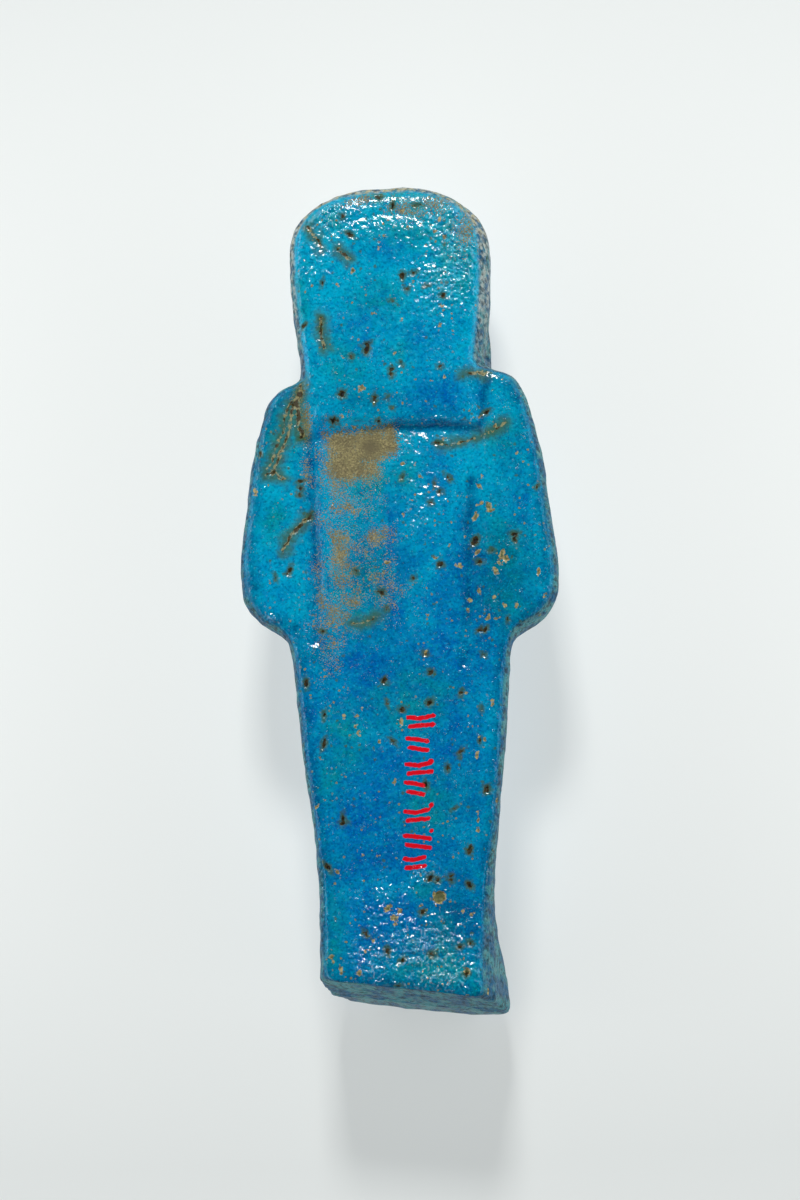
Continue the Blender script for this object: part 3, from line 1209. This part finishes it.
def open_marks(tree, place):
    """1 wherever the rough body shows: in craters, pits and creases."""
    total = mark_of(tree, place, "crater", 67.0, wobble=0.2, size=0.4)
    total = calculate(tree, "MAXIMUM", total, mark_of(tree, place, "crease", 68.0, wobble=0.22))
    return calculate(tree, "MAXIMUM", total, mark_of(tree, place, "pit", 71.0, wobble=0.22, size=0.4))


print("marks are coloured by their fields")

# %% [markdown]
# The surface itself shines like glass where the glaze is whole, and not at all where the body is bare.
# Small relief that is too fine for the mesh comes from a bump node: its height is in millimetres, and
# the node's distance turns it into metres.

# %% The shine and the fine relief
GLASSY = 0.045
DULL = 0.85


def shine(tree, place, worn):
    """The roughness of the surface, from glassy glaze to dull paste."""
    cloudy = effect(tree, "mottle", place, size=1.8, seed=81.0, detail=3.0, low=0.4, high=0.8)
    still = calculate(tree, "SUBTRACT", 1.0, field_of(tree, "rippled"), clamp=True)
    cloudy = weaken(tree, calculate(tree, "MULTIPLY", cloudy, still), 0.08)
    glassy = calculate(tree, "ADD", cloudy, GLASSY)
    glassy = calculate(tree, "ADD", glassy, weaken(tree, field_of(tree, "wall"), 0.45))
    dull = calculate(tree, "MAXIMUM", worn, open_marks(tree, place))
    return calculate(tree, "MAXIMUM", glassy, weaken(tree, dull, DULL))


def wave(tree, place, size, seed, height, detail=2.0):
    """Noise from 0 to this height, in millimetres."""
    cloud = effect(tree, "mottle", place, size=size, seed=seed, detail=detail, low=0.2, high=0.8)
    return calculate(tree, "MULTIPLY", cloud, height)


def fine_relief(tree, place, worn):
    """The height of everything that is finer than the mesh."""
    ripples = wave(tree, place, 0.8, 83.0, 0.38, detail=1.0)
    bubbles = effect(tree, "specks", place, size=0.5, seed=93.0, share=0.25, radius=0.3)
    grain = wave(tree, place, 0.22, 89.0, 0.05)
    rough_wall = wave(tree, place, 0.6, 91.0, 0.3, detail=4.0)
    height = calculate(tree, "MULTIPLY", ripples, field_of(tree, "rippled"))
    for finer in (
        wave(tree, place, 0.8, 85.0, 0.05),
        wave(tree, place, 0.25, 87.0, 0.012),
        calculate(tree, "MULTIPLY", bubbles, 0.03),
        calculate(tree, "MULTIPLY", grain, worn),
        calculate(tree, "MULTIPLY", rough_wall, field_of(tree, "wall")),
    ):
        height = calculate(tree, "ADD", height, finer)
    return height


print("whole glaze has a roughness of", GLASSY, "and bare paste", DULL)

# %% [markdown]
# The walls have the same colours with little gloss. How strongly a surface reflects is one number of its
# shader, so the faces that tilt away from the back carry a second material, with a lower number.

# %% Make the two materials
GLAZE_IOR = 1.55
GLAZE_SPECULAR = 0.5
CRUST_SPECULAR = 0.12
CRUST_TILT = (-0.5, 0.9)
CRUST_ABOVE = 7.0


def make_faience(name, specular):
    """The glazed paste, with this much reflection."""
    material = bpy.data.materials.new(name)
    material.use_nodes = True
    tree = material.node_tree
    shader = tree.nodes["Principled BSDF"]
    coordinates = put(tree, "ShaderNodeTexCoord").outputs["Object"]
    place = put(tree, "ShaderNodeVectorMath", {0: coordinates, "Scale": 1 / MM}, operation="SCALE").outputs[0]
    worn = worn_mask(tree, place)
    colour = grains(tree, place, blues(tree, place))
    colour = wear(tree, place, wall_crust(tree, place, colour), worn)
    colour = mark(tree, place, colour)
    tree.links.new(colour, shader.inputs["Base Color"])
    tree.links.new(shine(tree, place, worn), shader.inputs["Roughness"])
    bump = put(tree, "ShaderNodeBump", {"Height": fine_relief(tree, place, worn), "Distance": MM})
    tree.links.new(bump.outputs["Normal"], shader.inputs["Normal"])
    shader.inputs["IOR"].default_value = GLAZE_IOR
    shader.inputs["Specular IOR Level"].default_value = specular
    return material


skin.data.materials.append(make_faience("turquoise glaze", GLAZE_SPECULAR))
skin.data.materials.append(make_faience("dull crust of the walls", CRUST_SPECULAR))
tilts = table_of(skin.data.polygons, "normal")[:, 2]
face_heights = table_of(skin.data.polygons, "center")[:, 2] / MM
dull = (tilts > CRUST_TILT[0]) & (tilts < CRUST_TILT[1]) & (face_heights > CRUST_ABOVE)
skin.data.polygons.foreach_set("material_index", dull.astype(np.int32))
print("faces of the dull crust:", int(dull.sum()), "of", len(dull))

# %% [markdown]
# ## Hand over
# The skin takes the place of the frame's plain solid and moves with it. It is smooth all over, since a
# glaze has no hard edge. The two boxes are written down last, to show that nothing outgrew the solid.

# %% Put the skin in the solid's place
deselect_all()
skin.select_set(True)
bpy.context.view_layer.objects.active = skin
bpy.ops.object.shade_smooth()
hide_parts("ushabti")
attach(skin, "root")
print("the skin replaces the solid and has", len(skin.data.polygons), "faces")
